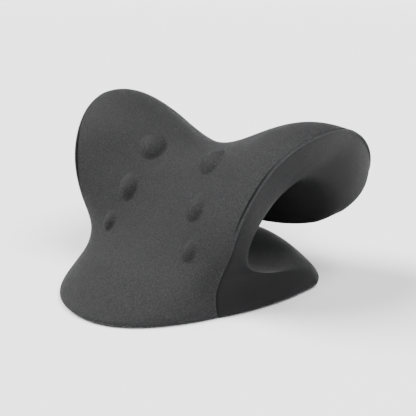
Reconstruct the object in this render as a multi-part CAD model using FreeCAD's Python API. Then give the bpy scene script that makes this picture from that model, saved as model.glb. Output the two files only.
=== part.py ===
import FreeCAD, Part
import os
from FreeCAD import Vector

# Foam neck stretcher (cervical traction device), in millimetres.
# Z = 0 is the table, +Z is up, and X = 0 is the plane of symmetry.
# The toe points to -Y and the mouth of the C-shaped hollow opens to +Y.
# The real thing is one moulding of polyurethane foam with a dense skin. It is built here from the
# layers of that moulding: a soft core, the skin over each of its faces, and six massage nodes.

SKIN = 2.0            # thickness of the dense skin
FLEX_Z = 57.0         # height of the thinnest part of the arch, where it bends under a head
FLEX_GAP = 0.4        # slit at the bend, between the part that stands and the part that bends
HOLLOW_Y = 48.0       # a point in the open hollow, clear of its wall and of its tip
HOLLOW_Z = 28.0       # and above the heel
REACH = 400.0         # longer than the object every way

# Sections of the outer face, from the toe's lower edge over the slope and the crown to the tip.
# Each is: parting edge (x, y, z), centre line (y, z), shoulder. The shoulder says how soon the
# section rises from the centre line to its edge: 0 is a parabola, 1 is a dish with a flat brim.
OUTER = [
    ((77, 1, 0), (-62, 0), -0.1),
    ((78, 0, 6), (-66, 6), -0.1),
    ((75, 3, 18), (-46, 14), 0.0),
    ((77, 6, 32), (-17, 24), 0.0),
    ((83, 6, 48), (5, 44), 0.0),
    ((90, 6, 70), (22, 68), 0.2),
    ((99, 13, 96), (40, 92), 0.3),
    ((109, 32, 121), (58, 103), 0.8),
    ((119, 62, 134), (78, 106), 1.1),
    ((121, 92, 133), (96, 101), 1.0),
    ((117, 122, 122), (112, 91), 0.6),
    ((112, 146, 105), (121, 76), 0.5),
    ((109, 154, 87), (118, 56), 0.5),
]

# Sections of the hollow, from the heel's lower edge over the heel and up the wall to the tip.
HOLLOW = [
    ((101, 97, 0), (136, 0), 0.1),
    ((105, 98, 8), (143, 8), 0.1),
    ((100, 90, 16), (132, 16), 0.2),
    ((93, 65, 20), (98, 12), 0.2),
    ((85, 44, 22), (62, 12), 0.1),
    ((81, 34, 31), (43, 24), 0.0),
    ((81, 32, 44), (37, 40), 0.0),
    ((84, 37, 60), (42, 56), 0.0),
    ((90, 46, 78), (55, 66), 0.0),
    ((97, 57, 91), (71, 70), 0.1),
    ((103, 74, 96), (86, 66), 0.3),
    ((107, 97, 83), (96, 55), 0.3),
    ((105, 105, 55), (103, 36), -0.3),
]

# How far each side section stands out from a straight line between its two edges.
SIDE_BULGE = [5, 6, 3, 0, 0, 0, 0, 0, 0, 1, 2, 3, 0]
# The side's last section rounds the underside of the wing tip: two points between its edges.
WING_END = [(111, 143, 68), (110, 122, 60)]
TIP_SAG = 5.0         # the tip's underside hangs this far below a straight line across it

# Massage nodes on the slope: a point on the outer face, then the half sizes of an ellipsoid
# (across the slope, out of it, along it), and the degrees by which the slope there leans back from
# upright and faces in. Each ellipsoid is sunk, so that only a dome of it stands out.
NODES = {
    "upper": ((33.5, 44.5, 102.5), (12.0, 8.5, 11.5), 50, 18),
    "middle": ((38.5, 20, 71.5), (9.5, 8.0, 10.5), 30, 10),
    "lower": ((46, 4.5, 43.5), (7.0, 7.0, 8.5), 30, 0),
}
NODE_SINK = 2.5

COLUMNS = [-3, -2, -1, 0, 1, 2, 3]     # seven points across, in thirds of the half width
STRIP = [0.0, 1 / 3, 2 / 3, 1.0]       # four points along a side section or across the tip


def section(edge, centre, shoulder):
    """Seven points across the object, from the left edge to the right one."""
    rise = {0: 0.0, 1: 0.11 + 0.22 * shoulder, 2: 0.44 + 0.46 * shoulder, 3: 1.0}
    points = []
    for column in COLUMNS:
        up = rise[abs(column)]
        y = centre[0] + (edge[1] - centre[0]) * up
        z = centre[1] + (edge[2] - centre[1]) * up
        points.append(Vector(edge[0] * column / 3.0, y, z))
    return points


def mirrored(grid):
    return [[Vector(-p.x, p.y, p.z) for p in row] for row in grid]


def outer_grids():
    """Points on the five outer faces: front, hollow, right side, left side and tip."""
    front = [section(*row) for row in OUTER]
    hollow = [section(*row) for row in HOLLOW]
    side = []
    for outer_row, hollow_row, bulge in zip(front, hollow, SIDE_BULGE):
        start = outer_row[-1]
        run = hollow_row[-1] - start
        row = [start + run * step for step in STRIP]
        row[1].x += bulge
        row[2].x += bulge
        side.append(row)
    side[-1][1] = Vector(*WING_END[0])
    side[-1][2] = Vector(*WING_END[1])
    left = mirrored(side)
    tip = []
    for number, step in enumerate(STRIP):
        sag = TIP_SAG if number in (1, 2) else 0.0
        row = [a + (b - a) * step - Vector(0, 0, sag) for a, b in zip(front[-1], hollow[-1])]
        row[-1] = side[-1][number]
        row[0] = left[-1][number]
        tip.append(row)
    return {"front": front, "hollow": hollow, "right": side, "left": left, "tip": tip}


def key(point):
    return (round(point.x, 4), round(point.y, 4), round(point.z, 4))


def inward_normals(grids):
    """Sum, at every point, of the inward normals of the faces that meet there."""
    sign = {"front": 1, "hollow": -1, "right": 1, "left": -1, "tip": 1}
    total = {}
    for name, grid in grids.items():
        last_row = len(grid) - 1
        last_column = len(grid[0]) - 1
        for i, row in enumerate(grid):
            for j, point in enumerate(row):
                along = grid[min(i + 1, last_row)][j] - grid[max(i - 1, 0)][j]
                across = row[min(j + 1, last_column)] - row[max(j - 1, 0)]
                normal = along.cross(across) * sign[name]
                normal.normalize()
                total.setdefault(key(point), []).append(normal)
                if point.z == 0:
                    total[key(point)].append(Vector(0, 0, 1))
    return total


def inner_grids(grids):
    """The outer points moved inward by the thickness of the skin."""
    normals = inward_normals(grids)
    result = {}
    for name, grid in grids.items():
        rows = []
        for row in grid:
            points = []
            for point in row:
                meeting = normals[key(point)]
                way = Vector(0, 0, 0)
                for normal in meeting:
                    way += normal
                way.normalize()
                if point.z == 0:
                    shift = way * (SKIN / way.z)
                else:
                    slant = min(way.dot(normal) for normal in meeting)
                    shift = way * (SKIN / max(slant, 0.6))
                points.append(point + shift)
            rows.append(points)
        result[name] = rows
    return result


def through(points):
    """A cubic curve through the points, spaced evenly in its parameter."""
    curve = Part.BSplineCurve()
    count = len(points)
    curve.interpolate(Points=points, Parameters=[i / (count - 1.0) for i in range(count)])
    return curve


def patch(grid):
    """A face through every point of the grid. Faces with a row in common share its curve."""
    rows = [through(row) for row in grid]
    columns = [through(list(points)) for points in zip(*[row.getPoles() for row in rows])]
    poles = [list(points) for points in zip(*[column.getPoles() for column in columns])]
    surface = Part.BSplineSurface()
    surface.buildFromPolesMultsKnots(
        poles, columns[0].getMultiplicities(), rows[0].getMultiplicities(),
        columns[0].getKnots(), rows[0].getKnots(), False, False, 3, 3)
    return surface.toShape()


def borders(grid):
    first = grid[0]
    last = grid[-1]
    left = [row[0] for row in grid]
    right = [row[-1] for row in grid]
    return [first, right, last, left]


def wall(outer_line, inner_line):
    """The cut edge of a skin, straight from its outer border to its inner one."""
    outer = through(outer_line).toShape()
    inner = through(inner_line).toShape()
    return Part.makeRuledSurface(outer, inner)


def closed(faces):
    shell = Part.makeShell(faces)
    shell.sewShape()
    solid = Part.makeSolid(shell)
    if solid.Volume < 0:
        solid.reverse()
    return solid


def floor_lines(grids):
    """The four curves round the sole."""
    return [grids["front"][0], grids["right"][0], grids["hollow"][0], grids["left"][0]]


def floor_face(grids):
    edges = [through(line).toShape() for line in floor_lines(grids)]
    return Part.Face(Part.Wire(Part.__sortEdges__(edges)))


def body(grids):
    """The whole solid inside one set of faces."""
    return closed([patch(grid) for grid in grids.values()] + [floor_face(grids)])


def skin(outer, inner):
    """One face's skin: the layer between its outer and inner surfaces."""
    faces = [patch(outer), patch(inner)]
    for outer_line, inner_line in zip(borders(outer), borders(inner)):
        faces.append(wall(outer_line, inner_line))
    return closed(faces)


def sole_skin(outer, inner):
    faces = [floor_face(outer), floor_face(inner)]
    for outer_line, inner_line in zip(floor_lines(outer), floor_lines(inner)):
        faces.append(wall(outer_line, inner_line))
    return closed(faces)


def massage_node(place, size, lean, inward, whole):
    """The right-hand dome of one level: the part of a sunk ellipsoid that stands out."""
    ball = Part.makeSphere(1.0)
    ball.rotate(Vector(0, 0, 0), Vector(0, 0, 1), 90)
    stretch = FreeCAD.Matrix()
    stretch.scale(Vector(*size))
    bump = ball.transformGeometry(stretch)
    bump.translate(Vector(0, NODE_SINK, 0))
    bump.rotate(Vector(0, 0, 0), Vector(0, 0, 1), -inward)
    bump.rotate(Vector(0, 0, 0), Vector(1, 0, 0), -lean)
    bump.translate(Vector(*place))
    return bump.cut(whole).Solids[0]


def slab(back, low, high):
    """A slab from low to high, reaching from far in front of the object to the plane Y = back."""
    return Part.makeBox(2 * REACH, REACH + back, high - low, Vector(-REACH, -REACH, low))


def standing_zone():
    """Holds the base: the arch up to the bend, and the heel under the open hollow."""
    arch = slab(HOLLOW_Y, -REACH, FLEX_Z - FLEX_GAP / 2)
    heel = slab(REACH, -REACH, HOLLOW_Z)
    return arch.fuse(heel)


def bending_zone():
    """Holds the crown: all above the bend, and its tip that hangs down into the hollow's mouth."""
    crown = slab(REACH, FLEX_Z + FLEX_GAP / 2, REACH)
    heel_and_arch = slab(HOLLOW_Y, -REACH, REACH).fuse(slab(REACH, -REACH, HOLLOW_Z))
    tip = slab(REACH, -REACH, REACH).cut(heel_and_arch)
    return crown.fuse(tip)


def save(shape, name):
    solids = shape.Solids
    kept = solids[0] if len(solids) == 1 else Part.makeCompound(solids)
    kept.exportStep("parts/" + name + ".step")
    print(name, "solids", len(solids), "valid", kept.isValid(), "cm3 %.2f" % (kept.Volume / 1000))


def main():
    os.makedirs("parts", exist_ok=True)
    outer = outer_grids()
    inner = inner_grids(outer)
    whole = body(outer)
    standing = standing_zone()
    bending = bending_zone()

    layers = {"foam_core": body(inner)}
    names = {"front": "front_skin", "hollow": "hollow_skin",
             "right": "right_side_skin", "left": "left_side_skin"}
    for face, name in names.items():
        layers[name] = skin(outer[face], inner[face])
    for name, layer in layers.items():
        save(layer.common(standing), name + "_base")
        save(layer.common(bending), name + "_crown")
    save(skin(outer["tip"], inner["tip"]), "tip_skin_crown")
    save(sole_skin(outer, inner), "sole_skin_base")

    for level, (place, size, lean, inward) in NODES.items():
        bump = massage_node(place, size, lean, inward, whole)
        save(bump, "massage_node_" + level + "_right")
        save(bump.mirror(Vector(0, 0, 0), Vector(1, 0, 0)), "massage_node_" + level + "_left")


main()
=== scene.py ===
import math
import bmesh
import bpy
import numpy as np
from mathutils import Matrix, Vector


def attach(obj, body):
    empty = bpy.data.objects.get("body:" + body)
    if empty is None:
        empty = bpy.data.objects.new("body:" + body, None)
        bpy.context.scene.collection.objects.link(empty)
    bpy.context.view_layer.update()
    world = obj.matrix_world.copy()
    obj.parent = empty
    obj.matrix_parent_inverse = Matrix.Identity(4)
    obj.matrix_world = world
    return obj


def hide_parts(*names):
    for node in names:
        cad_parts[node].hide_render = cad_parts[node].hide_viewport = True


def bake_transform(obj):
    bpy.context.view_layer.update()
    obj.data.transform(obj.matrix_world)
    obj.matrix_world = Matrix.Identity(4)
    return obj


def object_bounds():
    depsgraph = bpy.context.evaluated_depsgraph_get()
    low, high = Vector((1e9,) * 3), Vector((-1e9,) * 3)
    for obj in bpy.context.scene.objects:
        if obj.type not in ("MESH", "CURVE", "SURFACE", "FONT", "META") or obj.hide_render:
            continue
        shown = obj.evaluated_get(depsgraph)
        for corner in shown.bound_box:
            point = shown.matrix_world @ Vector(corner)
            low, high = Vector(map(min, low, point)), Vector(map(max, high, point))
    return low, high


# Looks of a foam neck stretcher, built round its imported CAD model. Lengths below are millimetres
# where a name ends in _MM and in the section lists, which repeat the CAD model's design sections.
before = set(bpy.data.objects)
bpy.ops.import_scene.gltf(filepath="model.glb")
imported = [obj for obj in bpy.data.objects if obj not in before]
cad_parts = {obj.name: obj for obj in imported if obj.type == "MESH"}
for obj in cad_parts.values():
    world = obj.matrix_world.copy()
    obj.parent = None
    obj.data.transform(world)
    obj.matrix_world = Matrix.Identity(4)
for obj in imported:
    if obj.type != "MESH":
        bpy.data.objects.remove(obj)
CAD_LOW, CAD_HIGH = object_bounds()
MM = 0.001

# Sections of the grained face from the toe's lower edge over the slope and the crown to the tip:
# parting edge (x, y, z), centre line (y, z), shoulder (0 a parabola, 1 a dish with a flat brim).
OUTER = [
    ((77, 1, 0), (-62, 0), -0.1),
    ((78, 0, 6), (-66, 6), -0.1),
    ((75, 3, 18), (-46, 14), 0.0),
    ((77, 6, 32), (-17, 24), 0.0),
    ((83, 6, 48), (5, 44), 0.0),
    ((90, 6, 70), (22, 68), 0.2),
    ((99, 13, 96), (40, 92), 0.3),
    ((109, 32, 121), (58, 103), 0.8),
    ((119, 62, 134), (78, 106), 1.1),
    ((121, 92, 133), (96, 101), 1.0),
    ((117, 122, 122), (112, 91), 0.6),
    ((112, 146, 105), (121, 76), 0.5),
    ((109, 154, 87), (118, 56), 0.5),
]
# Sections of the hollow from the heel's lower edge over the heel and up the wall to the tip.
HOLLOW = [
    ((101, 97, 0), (136, 0), 0.1),
    ((105, 98, 8), (143, 8), 0.1),
    ((100, 90, 16), (132, 16), 0.2),
    ((93, 65, 20), (98, 12), 0.2),
    ((85, 44, 22), (62, 12), 0.1),
    ((81, 34, 31), (43, 24), 0.0),
    ((81, 32, 44), (37, 40), 0.0),
    ((84, 37, 60), (42, 56), 0.0),
    ((90, 46, 78), (55, 66), 0.0),
    ((97, 57, 91), (71, 70), 0.1),
    ((103, 74, 96), (86, 66), 0.3),
    ((107, 97, 83), (96, 55), 0.3),
    ((105, 105, 55), (103, 36), -0.3),
]
SIDE_BULGE = [5, 6, 3, 0, 0, 0, 0, 0, 0, 1, 2, 3, 0]
WING_END = [(111, 143, 68), (110, 122, 60)]
TIP_SAG = 5.0
# How far the hollow's rim is rounded over, section by section: the moulding is crisp at the neck
# and runs out into soft scoops on the heel and under the wing.
RIM_ROUND = [0.2, 0.7, 1.0, 1.0, 0.8, 0.1, 0.0, 0.0, 0.0, 0.2, 0.9, 1.0, 0.9]
RIM_REACH_MM = 20.0   # how far from the rim the rounding reaches
RIM_PASSES = 140      # smoothing rounds
TIP_ROUND = 0.15      # how far the tip's edge is rounded over, and the wing's
WING_ROUND = 0.25
# A second, wider rounding of the rim, on the heel only, which runs out into a broad scoop.
HEEL_ROUND = [0.0, 0.4, 1.0, 1.0, 1.0, 0.2, 0.0, 0.0, 0.0, 0.0, 0.0, 0.0, 0.0]
HEEL_REACH_MM = 28.0
HEEL_PASSES = 240

SHELL_MM = 2.0        # thickness of the moulded skin
SHARP_DEG = 50.0      # edges that turn more than this stay crisp
LIP_MM = 0.5          # the grained skin stands this far proud of the side along the parting edge
LIP_THICK_MM = 1.4    # thickness of the grained skin at that edge
WORN_HIGHLIT_MM = 1.6         # the grained skin is painted lighter this far in from its edge: wear and a painted highlight on the lip
BORDER_MM = 1.5       # the grained skin dips by BORDER_DIP_MM within this distance of its edge
BORDER_DIP_MM = 0.2
GROOVE_MM = 1.3       # depth of the shadow groove under the lip
# Width of that groove, section by section: a fine line at the base, broad up the neck. Over the same
# width the smooth skin carries painted shade along the parting edge.
GROOVE_WIDE = [1.5, 1.5, 2.0, 3.5, 5.5, 6.0, 5.0, 3.0, 2.0, 1.6, 1.5, 1.5, 1.5]
GROOVE_DEEP = [0.3, 0.3, 0.3, 0.6, 1.0, 1.0, 1.0, 0.9, 0.8, 0.8, 0.7, 0.6, 0.5]
# How far the ridge between front and side is rolled over, and how far in from it on either face:
# the parting edge runs out into a soft ridge at the base.
ROLL_MM = [0.0, 1.1, 2.2, 2.2, 1.7, 1.1, 0.6, 0.2, 0.0, 0.0, 0.0, 0.0, 0.0]
ROLL_FRONT_MM = 22.0
ROLL_SIDE_MM = 12.0
ROWS = 220            # fine rows from toe to tip, and columns across each face
FRONT_COLUMNS = 150
HOLLOW_COLUMNS = 116
SIDE_COLUMNS = 44
CORE_DEPTH_MM = 5.0   # the core lies this deep under the faces
CORE_INSET = 0.08     # and stays this share of the width, and of the length, off the sides and tip
CORE_ROWS = 90        # rows and columns of its two large faces, and columns of the strips between
CORE_COLUMNS = 50
CORE_STRIP = 12
# Massage nodes: centre on the slope, half sizes across the slope and along it, height.
NODES = [
    ((33.5, 44.5, 102.5), 11.0, 11.0, 6.0),
    ((38.5, 20.0, 71.5), 8.0, 10.5, 5.2),
    ((46.0, 4.5, 43.5), 5.8, 8.0, 4.2),
]
NODE_SPREAD = 1.06    # the nodes run out a little beyond the CAD model's crisp ovals
NODE_SHARE = 0.8      # share of a node's height in its steep dome; the rest is a softer cap
NODE_POWER = 0.65     # how steeply that dome's edge rises: 0.5 is an ellipsoid


def spline_matrix(points, samples):
    """Rows that turn evenly spaced points into samples of the cubic curve through them."""
    slopes = np.zeros((points, points))
    right = np.zeros((points, points))
    for i in range(1, points - 1):
        slopes[i, i - 1:i + 2] = (1, 4, 1)
        right[i, i - 1] = -3
        right[i, i + 1] = 3
    slopes[0, 0] = slopes[-1, -1] = 1
    end = np.array((-11, 18, -9, 2)) / 6
    right[0, :4] = end
    right[-1, -4:] = -end[::-1]
    slope = np.linalg.solve(slopes, right)
    result = np.zeros((samples, points))
    for row, u in enumerate(np.linspace(0, points - 1, samples)):
        i = min(int(u), points - 2)
        t = u - i
        result[row, i] += 2 * t ** 3 - 3 * t ** 2 + 1
        result[row, i + 1] += -2 * t ** 3 + 3 * t ** 2
        result[row] += (t ** 3 - 2 * t ** 2 + t) * slope[i]
        result[row] += (t ** 3 - t ** 2) * slope[i + 1]
    return result


def surface(grid, rows, columns):
    """The face through a grid of points, as rows by columns of finer points."""
    down = spline_matrix(len(grid), rows)
    along = spline_matrix(len(grid[0]), columns)
    return np.einsum("ri,ijk,cj->rck", down, np.asarray(grid, float), along)


def section(edge, centre, shoulder):
    """Seven points across the object, from the left edge to the right one."""
    rise = (0.0, 0.11 + 0.22 * shoulder, 0.44 + 0.46 * shoulder, 1.0)
    points = []
    for column in range(-3, 4):
        up = rise[abs(column)]
        y = centre[0] + (edge[1] - centre[0]) * up
        z = centre[1] + (edge[2] - centre[1]) * up
        points.append((edge[0] * column / 3, y, z))
    return points


def design_grids():
    """The CAD model's design points: front, hollow, right side and tip."""
    front = np.array([section(*row) for row in OUTER])
    hollow = np.array([section(*row) for row in HOLLOW])
    strip = np.linspace(0, 1, 4)[None, :, None]
    side = front[:, -1:] * (1 - strip) + hollow[:, -1:] * strip
    side[:, 1:3, 0] += np.array(SIDE_BULGE)[:, None]
    side[-1, 1:3] = WING_END
    tip = front[-1][None] * (1 - strip[0, :, None]) + hollow[-1][None] * strip[0, :, None]
    tip[1:3, :, 2] -= TIP_SAG
    tip[:, -1] = side[-1]
    tip[:, 0] = side[-1] * (-1, 1, 1)
    return front, hollow, side, tip


def normals_of(grid):
    """Unit normals of a grid of points."""
    normal = np.cross(np.gradient(grid, axis=0), np.gradient(grid, axis=1))
    return normal / np.maximum(np.linalg.norm(normal, axis=-1, keepdims=True), 1e-9)


def fade(distance, reach):
    """1 at no distance, falling smoothly to 0 at reach."""
    t = np.clip(distance / reach, 0, 1)
    return 1 - t * t * (3 - 2 * t)


def run_across(grid):
    """Length along each row, from the first column to each point."""
    step = np.linalg.norm(np.diff(grid, axis=1), axis=-1)
    return np.concatenate([np.zeros((len(grid), 1)), np.cumsum(step, axis=1)], axis=1)


def side_distance(grid):
    """Distance of each grid point from the nearer of the left and right borders."""
    along = run_across(grid)
    return np.minimum(along, along[:, -1:] - along)


def edge_distance(grid):
    """Distance of each grid point from the left and right borders, and from the last row."""
    step = np.linalg.norm(np.diff(grid, axis=0), axis=-1)
    down = np.concatenate([np.zeros((1, grid.shape[1])), np.cumsum(step, axis=0)], axis=0)
    return np.minimum(side_distance(grid), down[-1:] - down)


def raise_massage_nodes(grid, normals):
    """Lifts the slope into six oval domes, where the CAD model's massage nodes are."""
    lift = np.zeros(grid.shape[:2])
    for centre, across, along, height in NODES:
        for side in (1, -1):
            middle = np.array(centre) * (side, 1, 1)
            place = np.unravel_index(np.argmin(np.linalg.norm(grid - middle, axis=-1)), grid.shape[:2])
            out = normals[place]
            level = np.cross(out, (0, 0, 1))
            level = level / np.linalg.norm(level)
            uphill = np.cross(level, out)
            away = grid - middle
            share = (away @ level / across) ** 2 + (away @ uphill / along) ** 2
            share += (away @ out / (3 * height)) ** 2
            near = np.clip(1 - share / NODE_SPREAD ** 2, 0, 1)
            dome = NODE_SHARE * near ** NODE_POWER + (1 - NODE_SHARE) * near ** 2
            lift = np.maximum(lift, height * dome)
    return grid + normals * lift[..., None]


def add_mesh(name, grids, material, weld_mm=0.02):
    """One mesh from several grids, joined where their borders meet. Each grid is (points, flip)."""
    verts, faces = [], []
    for grid, flip in grids:
        rows, columns = grid.shape[:2]
        start = len(verts)
        verts.extend((grid.reshape(-1, 3) * MM).tolist())
        for i in range(rows - 1):
            for j in range(columns - 1):
                a = start + i * columns + j
                quad = (a, a + 1, a + columns + 1, a + columns)
                faces.append(quad[::-1] if flip else quad)
    mesh = bpy.data.meshes.new(name)
    mesh.from_pydata(verts, [], faces)
    piece = bpy.data.objects.new(name, mesh)
    bpy.context.scene.collection.objects.link(piece)
    weld = piece.modifiers.new("weld", "WELD")
    weld.merge_threshold = weld_mm * MM
    apply_modifiers(piece)
    piece.data.materials.append(material)
    piece.data.shade_smooth()
    return piece


def apply_modifiers(piece):
    """Replaces the piece's mesh by what its modifiers make of it."""
    graph = bpy.context.evaluated_depsgraph_get()
    made = bpy.data.meshes.new_from_object(piece.evaluated_get(graph))
    old = piece.data
    piece.modifiers.clear()
    piece.data = made
    made.name = piece.name
    bpy.data.meshes.remove(old)


def points_of(piece):
    """The piece's vertices, in millimetres."""
    flat = np.empty(len(piece.data.vertices) * 3)
    piece.data.vertices.foreach_get("co", flat)
    return flat.reshape(-1, 3) / MM


def distance_to_line(points, line, chunk=4000):
    """Distance of each point to the nearest point of a line, and the index of that point."""
    distance = np.empty(len(points))
    index = np.empty(len(points), int)
    for start in range(0, len(points), chunk):
        part = points[start:start + chunk]
        apart = np.linalg.norm(part[:, None] - line[None], axis=-1)
        index[start:start + chunk] = apart.argmin(axis=1)
        distance[start:start + chunk] = apart.min(axis=1)
    return distance, index


def soften(piece, seams, reach_mm, rounds):
    """Rounds the mesh over along seams, each a line of points with a softness from 0 to 1."""
    points = points_of(piece)
    weight = np.zeros(len(points))
    for line, softness in seams:
        distance, index = distance_to_line(points, line)
        near = softness[index]
        weight = np.maximum(weight, near * fade(distance, reach_mm * np.maximum(near, 0.2)))
    group = piece.vertex_groups.new(name="soften")
    for number in np.nonzero(weight > 0.01)[0]:
        group.add([int(number)], float(weight[number]), "REPLACE")
    smooth(piece, rounds, "soften")
    piece.vertex_groups.clear()


def smooth(piece, rounds, group):
    """Evens out the mesh by the weights of a vertex group."""
    modifier = piece.modifiers.new("smooth", "SMOOTH")
    modifier.factor = 0.5
    modifier.iterations = rounds
    modifier.vertex_group = group
    apply_modifiers(piece)


def thicken(piece, thickness_mm, clamp=0.0):
    """Gives a skin its thickness inwards, no more than clamp times the mesh's edges where set."""
    solid = piece.modifiers.new("thickness", "SOLIDIFY")
    solid.thickness = thickness_mm * MM
    solid.offset = -1
    solid.use_rim = True
    solid.thickness_clamp = clamp
    apply_modifiers(piece)
    piece.data.set_sharp_from_angle(angle=math.radians(SHARP_DEG))


def paint_edges(piece, line, reach_mm):
    """Stores how near each point is to the parting edge, for what the material paints there: wear and
    a painted highlight on the front, painted shade in the groove on the side.
    """
    distance, index = distance_to_line(points_of(piece), line)
    attribute = piece.data.attributes.new("edge", "FLOAT", "POINT")
    attribute.data.foreach_set("value", fade(distance, reach_mm[index]).astype(np.float32))


def by_row(values):
    """A list of one value per section, spread over the fine rows."""
    return np.interp(np.linspace(0, len(values) - 1, ROWS), range(len(values)), values)


def front_grid(front):
    """The grained face, with its bumps, rolled over and standing proud at the parting edge."""
    grid = surface(front, ROWS, FRONT_COLUMNS)
    normals = normals_of(grid)
    outward = normals * -1
    grid = raise_massage_nodes(grid, outward)
    roll = by_row(ROLL_MM)[:, None] * rolled(side_distance(grid), ROLL_FRONT_MM)
    grid = grid - outward * roll[..., None]
    near = fade(edge_distance(grid), BORDER_MM)[..., None]
    grid = grid - outward * near ** 2 * BORDER_DIP_MM
    grid[:, -1] += away_from(grid[:, -2], grid[:, -1]) * LIP_MM
    grid[:, 0] += away_from(grid[:, 1], grid[:, 0]) * LIP_MM
    grid[-1] += away_from(grid[-2], grid[-1]) * LIP_MM
    return grid


def rolled(distance, reach):
    """1 at the edge, falling to 0 at reach, steepest at the edge itself."""
    return np.clip(1 - distance / reach, 0, 1) ** 2


def away_from(inner, edge):
    """Unit directions from a line of points to the border beside it."""
    way = edge - inner
    return way / np.linalg.norm(way, axis=-1, keepdims=True)


def side_grid(side, front):
    """A smooth side, rolled over at the ridge and sunk into a groove under the front's lip."""
    grid = surface(side, ROWS, SIDE_COLUMNS)
    ridge = normals_of(surface(front, ROWS, FRONT_COLUMNS))[:, -1:]
    shift = ridge * by_row(ROLL_MM)[:, None, None]
    inward = normals_of(grid)
    away = run_across(grid)
    depth = GROOVE_MM * by_row(GROOVE_DEEP)[:, None] * fade(away, by_row(GROOVE_WIDE)[:, None])
    return grid + inward * depth[..., None] + shift * rolled(away, ROLL_SIDE_MM)[..., None]


def mirrored(grid):
    """The same points on the other side of the plane of symmetry."""
    return grid * (-1, 1, 1)


def make_front(front, material):
    grid = front_grid(front)
    piece = add_mesh("grained_front_skin", [(grid, False)], material)
    thicken(piece, LIP_THICK_MM)
    border = np.concatenate([grid[:, -1], grid[:, 0], grid[-1]])
    # Marks the band along the edge that the material paints lighter: wear and a painted highlight.
    paint_edges(piece, border, np.full(len(border), WORN_HIGHLIT_MM))
    return piece


def soft_seams(hollow, side):
    """The edges that the moulding rounds over, each with its softness from point to point."""
    rim = surface(hollow, ROWS, 2)[:, 1]
    rounding = by_row(RIM_ROUND)
    tip = surface(hollow, 2, HOLLOW_COLUMNS)[1]
    wing = surface(side, 2, SIDE_COLUMNS)[1]
    return [(rim, rounding), (mirrored(rim), rounding),
            (tip, np.full(len(tip), TIP_ROUND)),
            (wing, np.full(len(wing), WING_ROUND)),
            (mirrored(wing), np.full(len(wing), WING_ROUND))]


def heel_seams(hollow):
    """The heel's rim, which runs out into a broad scoop."""
    rim = surface(hollow, ROWS, 2)[:, 1]
    rounding = by_row(HEEL_ROUND)
    return [(rim, rounding), (mirrored(rim), rounding)]


def make_back(front, hollow, side, tip, material):
    """The smooth skin: both sides, the hollow and the underside of the tip in one."""
    right = side_grid(side, front)
    inside = surface(hollow, ROWS, HOLLOW_COLUMNS)
    under = surface(tip, SIDE_COLUMNS, HOLLOW_COLUMNS)
    under[:, -1] = right[-1]
    under[:, 0] = mirrored(right[-1])
    piece = add_mesh("smooth_back_skin", [
        (right, False), (mirrored(right), True), (inside, True), (under, False)], material)
    soften(piece, soft_seams(hollow, side), RIM_REACH_MM, RIM_PASSES)
    soften(piece, heel_seams(hollow), HEEL_REACH_MM, HEEL_PASSES)
    thicken(piece, SHELL_MM, clamp=1.0)
    border = np.concatenate([right[:, 0], mirrored(right)[:, 0]])
    # Marks the band along the groove that the material paints dark as painted shade.
    paint_edges(piece, border, np.tile(by_row(GROOVE_WIDE), 2))
    return piece


def ring_points(front, hollow, side):
    """The border of the sole, once round."""
    toe = surface(front, 2, FRONT_COLUMNS)[0]
    heel = surface(hollow, 2, HOLLOW_COLUMNS)[0]
    flank = surface(side, 2, SIDE_COLUMNS)[0]
    return np.concatenate([toe[:-1], flank[:-1], heel[::-1][:-1], mirrored(flank)[::-1][:-1]])


def make_sole(front, hollow, side, material):
    """The flat underside: a thin plate with a rounded border."""
    border = ring_points(front, hollow, side)
    centre = border.mean(axis=0)
    shares = [1.0, 0.995, 0.97, 0.9, 0.75, 0.6, 0.45, 0.3, 0.15, 0.03]
    lows = [0.5, 0.12] + [0.0] * 8
    rings = []
    for share, low in zip(shares, lows):
        ring = centre + (border - centre) * share
        ring[:, 2] = low
        rings.append(ring)
    grid = np.array(rings)
    grid = np.concatenate([grid, grid[:, :1]], axis=1)
    top = grid.copy()
    top[..., 2] = SHELL_MM
    top[0, :, 2] = lows[0]
    piece = add_mesh("sole_skin", [(grid, False), (top, True)], material)
    close_holes(piece)
    return piece


def close_holes(piece):
    """Fills the open borders of a piece and turns all its faces outward."""
    mesh = bmesh.new()
    mesh.from_mesh(piece.data)
    bmesh.ops.holes_fill(mesh, edges=[e for e in mesh.edges if e.is_boundary], sides=0)
    bmesh.ops.recalc_face_normals(mesh, faces=mesh.faces)
    mesh.to_mesh(piece.data)
    mesh.free()
    piece.data.shade_smooth()


def drawn_in(grid, inward):
    """A face's points sunk below it, without the stretch next to its free borders."""
    inset = np.linspace(CORE_INSET, 1 - CORE_INSET, CORE_COLUMNS) * (grid.shape[1] - 1)
    down = np.linspace(0, 1 - CORE_INSET, CORE_ROWS) * (len(grid) - 1)
    sunk = grid + inward * CORE_DEPTH_MM
    sunk[..., 2] = np.maximum(sunk[..., 2], SHELL_MM + 0.3)
    return sunk[down.astype(int)][:, inset.astype(int)]


def make_core(front, hollow, material):
    """The soft foam inside the skins, which nothing shows unless the object is cut."""
    outer = surface(front, ROWS, FRONT_COLUMNS)
    inner = surface(hollow, ROWS, HOLLOW_COLUMNS)
    outer = drawn_in(outer, normals_of(outer))
    inner = drawn_in(inner, normals_of(inner) * -1)
    share = np.linspace(0, 1, CORE_STRIP)[:, None]
    right = outer[:, -1:] * (1 - share) + inner[:, -1:] * share
    under = outer[-1] * (1 - share[..., None]) + inner[-1] * share[..., None]
    piece = add_mesh("foam_core", [
        (outer, False), (inner, True), (right, False), (mirrored(right), True),
        (under, False)], material, weld_mm=0.2)
    close_holes(piece)
    return piece


# ---- materials ----

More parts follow.
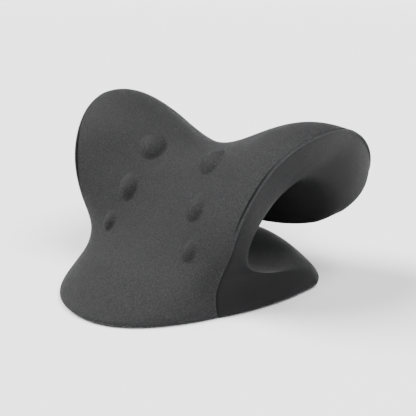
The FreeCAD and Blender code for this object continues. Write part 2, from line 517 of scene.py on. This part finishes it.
class Recipe:
    """A node material built up one named node at a time."""

    def __init__(self, name):
        self.material = bpy.data.materials.new(name)
        self.material.use_nodes = True
        self.tree = self.material.node_tree
        self.shader = self.tree.nodes["Principled BSDF"]
        self.place = self.node("ShaderNodeTexCoord").outputs["Object"]

    def node(self, kind, **values):
        made = self.tree.nodes.new(kind)
        for name, value in values.items():
            setattr(made, name, value)
        return made

    def link(self, source, target):
        self.tree.links.new(source, target)

    def noise(self, scale, detail=3.0, roughness=0.5):
        made = self.node("ShaderNodeTexNoise")
        made.inputs["Scale"].default_value = scale
        made.inputs["Detail"].default_value = detail
        made.inputs["Roughness"].default_value = roughness
        self.link(self.place, made.inputs["Vector"])
        return made.outputs["Fac"]

    def cells(self, scale):
        made = self.node("ShaderNodeTexVoronoi")
        made.inputs["Scale"].default_value = scale
        self.link(self.place, made.inputs["Vector"])
        return made.outputs["Distance"]

    def ranged(self, source, low, high, new_low, new_high):
        made = self.node("ShaderNodeMapRange")
        made.inputs["From Min"].default_value = low
        made.inputs["From Max"].default_value = high
        made.inputs["To Min"].default_value = new_low
        made.inputs["To Max"].default_value = new_high
        self.link(source, made.inputs["Value"])
        return made.outputs["Result"]

    def mixed(self, factor, first, second):
        made = self.node("ShaderNodeMix", data_type="RGBA")
        self.link(factor, made.inputs["Factor"])
        for socket, colour in ((made.inputs["A"], first), (made.inputs["B"], second)):
            if isinstance(colour, tuple):
                socket.default_value = (*colour, 1)
            else:
                self.link(colour, socket)
        return made.outputs["Result"]

    def added(self, first, second):
        made = self.node("ShaderNodeMath", operation="ADD")
        self.link(first, made.inputs[0])
        self.link(second, made.inputs[1])
        return made.outputs["Value"]

    def stored(self, name):
        return self.node("ShaderNodeAttribute", attribute_name=name).outputs["Fac"]

    def bump(self, height, distance, strength=1.0, before=None):
        made = self.node("ShaderNodeBump")
        made.inputs["Distance"].default_value = distance
        made.inputs["Strength"].default_value = strength
        self.link(height, made.inputs["Height"])
        if before:
            self.link(before, made.inputs["Normal"])
        return made.outputs["Normal"]

    def finish(self, colour, roughness, normal, specular, sheen=0.0):
        self.link(colour, self.shader.inputs["Base Color"])
        self.link(roughness, self.shader.inputs["Roughness"])
        self.link(normal, self.shader.inputs["Normal"])
        self.shader.inputs["Specular IOR Level"].default_value = specular
        self.shader.inputs["Sheen Weight"].default_value = sheen
        self.shader.inputs["Sheen Roughness"].default_value = 0.5
        return self.material


def grained_foam():
    """The front: a matt skin with a fine leather-like pebble grain, painted lighter along its parting
    edge as wear and a painted highlight.
    """
    made = Recipe("grained_foam")
    pebbles = made.cells(950)
    fine = made.noise(1500, 2.0)
    broad = made.noise(38, 4.0, 0.55)
    domes = made.ranged(pebbles, 0.0, 0.75, 1.0, 0.0)
    height = made.added(domes, made.ranged(fine, 0.3, 0.7, 0.0, 0.45))
    tone = made.mixed(broad, (0.0322, 0.0322, 0.0330), (0.0405, 0.0405, 0.0415))
    raised = made.ranged(height, 0.45, 1.15, 0.0, 1.0)
    speck = made.mixed(raised, (0.0185, 0.0185, 0.0190), tone)
    # Wear and painted highlight: the skin is painted lighter near its parting edge.
    edge = made.ranged(made.stored("edge"), 0.0, 1.0, 0.0, 0.12)
    worn_and_highlit = made.mixed(edge, speck, (0.07, 0.07, 0.074))
    roughness = made.ranged(broad, 0.3, 0.7, 0.56, 0.68)
    normal = made.bump(height, 0.00028, 1.0)
    normal = made.bump(broad, 0.0016, 0.25, normal)
    return made.finish(worn_and_highlit, roughness, normal, 0.06)


def smooth_foam():
    """The sides, the hollow and the sole: bare moulded skin, satin, with a faint orange peel and
    painted shade along the groove under the front's lip.
    """
    made = Recipe("smooth_foam")
    peel = made.noise(420, 2.0)
    broad = made.noise(22, 4.0, 0.6)
    tone = made.mixed(broad, (0.0094, 0.0094, 0.0098), (0.0119, 0.0119, 0.0124))
    # Painted shade: the skin is painted nearly black along the parting edge, where the groove under
    # the lip lies in shadow.
    painted_groove_shade = made.ranged(made.stored("edge"), 0.0, 1.0, 0.0, 0.9)
    shaded = made.mixed(painted_groove_shade, tone, (0.0040, 0.0040, 0.0042))
    roughness = made.ranged(made.added(peel, broad), 0.7, 1.3, 0.46, 0.60)
    normal = made.bump(peel, 0.00012, 0.5)
    normal = made.bump(broad, 0.0012, 0.2, normal)
    return made.finish(shaded, roughness, normal, 0.06)


def core_foam():
    """The inside: soft open cells."""
    made = Recipe("core_foam")
    cells = made.cells(700)
    tone = made.mixed(cells, (0.05, 0.05, 0.053), (0.12, 0.12, 0.125))
    roughness = made.ranged(cells, 0.0, 1.0, 0.8, 0.95)
    return made.finish(tone, roughness, made.bump(cells, 0.0006), 0.2, 0.2)


def floor_paper():
    made = Recipe("floor_paper")
    grain = made.noise(60, 3.0)
    tone = made.mixed(grain, (0.90, 0.90, 0.905), (0.92, 0.92, 0.925))
    roughness = made.ranged(grain, 0.0, 1.0, 0.75, 0.85)
    return made.finish(tone, roughness, made.bump(grain, 0.0001, 0.1), 0.1)


# ---- stage ----

def make_floor(material):
    """A pale sheet, level round the object, that turns up all round as a backdrop."""
    level, bend, top, steps, turns = 6000.0, 1500.0, 2600.0, 16, 64
    profile = [(0.0, 0.0), (1000.0, 0.0), (level, 0.0)]
    for step in range(1, steps + 1):
        turn = math.pi / 2 * step / steps
        profile.append((level + bend * math.sin(turn), bend * (1 - math.cos(turn))))
    profile.append((level + bend, top))
    grid = []
    for turn in np.linspace(0, 2 * math.pi, turns + 1):
        grid.append([(r * math.cos(turn), r * math.sin(turn), z - 0.05) for r, z in profile])
    floor = add_mesh("floor", [(np.array(grid), True)], material)


def soft_sun(name, place, power, spread):
    """A soft sun that shines from a place, in metres, to the middle of the object."""
    data = bpy.data.lights.new(name, "SUN")
    data.energy = power
    data.angle = math.radians(spread)
    light = bpy.data.objects.new(name, data)
    bpy.context.scene.collection.objects.link(light)
    light.location = place
    middle = (CAD_LOW + CAD_HIGH) / 2
    light.rotation_euler = (Vector(middle) - Vector(place)).to_track_quat("-Z", "Y").to_euler()


def light_studio():
    """A key light from the left, a second one from the back right, and a faint fill."""
    soft_sun("key", (-1.6, -1.0, 2.5), 7.5, 36)
    soft_sun("back", (1.0, 0.6, 2.6), 4.4, 40)
    world = bpy.data.worlds.new("studio")
    world.use_nodes = True
    background = world.node_tree.nodes["Background"]
    background.inputs["Color"].default_value = (1, 1, 1, 1)
    background.inputs["Strength"].default_value = 0.06
    bpy.context.scene.world = world


def place_camera():
    """A camera at the front right, a little above the object, that looks at its middle."""
    data = bpy.data.cameras.new("camera")
    data.sensor_width = 36
    data.lens = 56.25
    camera = bpy.data.objects.new("camera", data)
    bpy.context.scene.collection.objects.link(camera)
    camera.location = (0.356, -0.316, 0.241)
    target = Vector((0.0285, 0.045, 0.0625))
    camera.rotation_euler = (target - camera.location).to_track_quat("-Z", "Y").to_euler()
    bpy.context.scene.camera = camera


def nodes_named(*starts):
    """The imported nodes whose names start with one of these."""
    return [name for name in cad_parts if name.startswith(starts)]


def main():
    place_camera()
    light_studio()
    make_floor(floor_paper())
    front, hollow, side, tip = design_grids()
    grained, smooth = grained_foam(), smooth_foam()
    front_skin = make_front(front, grained)
    back_skin = make_back(front, hollow, side, tip, smooth)
    sole = make_sole(front, hollow, side, smooth)
    core = make_core(front, hollow, core_foam())
    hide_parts(*nodes_named("front_skin", "massage_node"))
    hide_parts(*nodes_named("hollow_skin", "right_side", "left_side", "tip_skin"))
    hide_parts("sole_skin_base")
    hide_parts(*nodes_named("foam_core"))
    for piece in (front_skin, back_skin, core):
        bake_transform(piece)
    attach(sole, "base")


main()
